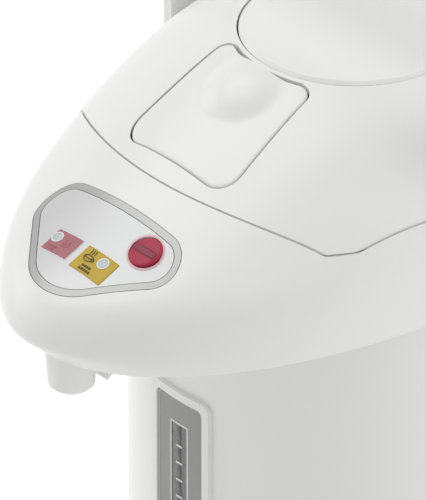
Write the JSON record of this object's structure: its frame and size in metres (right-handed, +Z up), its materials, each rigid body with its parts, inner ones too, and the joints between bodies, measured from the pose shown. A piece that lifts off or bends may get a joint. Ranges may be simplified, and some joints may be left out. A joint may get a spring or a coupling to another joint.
{
  "type": "electric thermo pot",
  "caption": "Round white electric thermo pot: swivel base, beaked head with nozzle, cup lever, control panel and water gauge, hinged lid with air pump plate, folding handle.",
  "frame": {"origin": "centre of the foot ring's flat face, on the body's axis", "axes": "+Z is up; -Y is the front, where the beak and the nozzle are; +X is to the right seen from the front"},
  "size_m": [0.2322, 0.3006, 0.42],
  "materials": {
    "white_abs": "satin moulded plastic",
    "white_body": "satin painted steel",
    "inner_plastic": "plain moulded plastic",
    "rubber": "matte rubber",
    "silicone": "soft silicone rubber",
    "steel": "plain steel",
    "brass": "plain brass",
    "felt": "insulating felt",
    "dark_plastic": "plain dark plastic",
    "board": "circuit board",
    "gauge_white": "moulded plastic rim",
    "gauge_grey": "printed label",
    "clear": "clear plastic",
    "bezel_grey": "satin grey plastic",
    "overlay": "printed silvery film",
    "lamp": "frosted lens",
    "red": "moulded crimson plastic"
  },
  "bodies": {
    "turntable": {"foot_ring": "rubber", "turntable_plate": "inner_plastic", "swivel_washer": "steel", "swivel_screw": "steel"},
    "pot": {"base_housing": "white_abs", "outer_body": "white_body", "inlet_socket": "dark_plastic", "inlet_pins": "brass", "power_board": "board", "inner_vessel": "steel", "insulation_sleeve": "felt", "heater_plate": "steel", "thermostats": "dark_plastic", "shoulder_ring": "inner_plastic", "mouth_seal": "silicone", "pump_housing": "inner_plastic", "pump_motor": "steel", "suction_pipe": "silicone", "riser_hose": "silicone", "level_tube": "clear", "outlet_pipe": "silicone", "gauge_frame": "gauge_white", "gauge_scale": "gauge_grey", "gauge_lens": "clear", "head_shell": "white_abs", "spout_cover": "white_abs", "nozzle": "white_abs", "head_liner": "inner_plastic", "catch_plate": "inner_plastic", "hinge_bracket": "inner_plastic", "hinge_pin": "steel", "control_bezel": "bezel_grey", "control_overlay": "overlay", "lamp_lenses": "lamp", "leds": "lamp", "control_board": "board", "board_posts": "inner_plastic", "tact_switch": "dark_plastic", "lever_brackets": "inner_plastic", "cup_lever_pin": "steel", "micro_switch": "dark_plastic", "handle_studs": "white_abs"},
    "impeller": {"impeller": "dark_plastic"},
    "cup_lever": {"cup_lever": "white_abs"},
    "handle": {"handle": "white_abs"},
    "lid": {"lid_shell": "white_abs", "lid_underside": "inner_plastic", "lid_gasket": "silicone", "bellows": "silicone", "pump_spring": "steel", "lever_pin": "steel"},
    "pump_plate": {"pump_plate": "white_abs"},
    "release_lever": {"release_lever": "white_abs"},
    "latch": {"latch_bolt": "inner_plastic"},
    "dispense_button": {"dispense_button": "red"}
  },
  "joints": [
    {"name": "swivel", "type": "hinge", "parent": "turntable", "child": "pot", "pos_m": [0, 0, 0.01], "axis": [0, 0, 1], "continuous": true},
    {"name": "lid_hinge", "type": "hinge", "parent": "pot", "child": "lid", "pos_m": [0, 0.107, 0.3], "axis": [-1, 0, 0], "range_deg": [0, 75]},
    {"name": "handle_swing", "type": "hinge", "parent": "pot", "child": "handle", "pos_m": [0, 0, 0.274], "axis": [-1, 0, 0], "range_deg": [0, 112.5]},
    {"name": "pump_stroke", "type": "slide", "parent": "lid", "child": "pump_plate", "axis": [0, 0, -1], "range_m": [0, 0.018], "stiffness_N_per_m": 400, "springref_m": -0.004, "deforming": ["bellows", "pump_spring"]},
    {"name": "lever_press", "type": "hinge", "parent": "lid", "child": "release_lever", "pos_m": [0, -0.092, 0.314], "axis": [-1, 0, 0], "range_deg": [0, 1.8], "stiffness_Nm_per_rad": 0.9, "springref_deg": -5.73},
    {"name": "latch_slide", "type": "slide", "parent": "lid", "child": "latch", "axis": [0, 1, 0], "range_m": [0, 0.0014]},
    {"name": "button_press", "type": "slide", "parent": "pot", "child": "dispense_button", "axis": [0, 0.4478, -0.8942], "range_m": [0, 0.0012], "stiffness_N_per_m": 800, "springref_m": -0.0006},
    {"name": "cup_lever_push", "type": "hinge", "parent": "pot", "child": "cup_lever", "pos_m": [0, -0.1458, 0.256], "axis": [1, 0, 0], "range_deg": [0, 8], "stiffness_Nm_per_rad": 0.2, "springref_deg": -2.86},
    {"name": "impeller_spin", "type": "hinge", "parent": "pot", "child": "impeller", "pos_m": [0, -0.045, 0.042], "axis": [0, 0, 1], "continuous": true}
  ],
  "couplings": [
    {"joint": "handle_swing", "follows": "lid_hinge", "ratio": 1.5},
    {"joint": "latch_slide", "follows": "lever_press", "m_per_rad": 0.044}
  ]
}
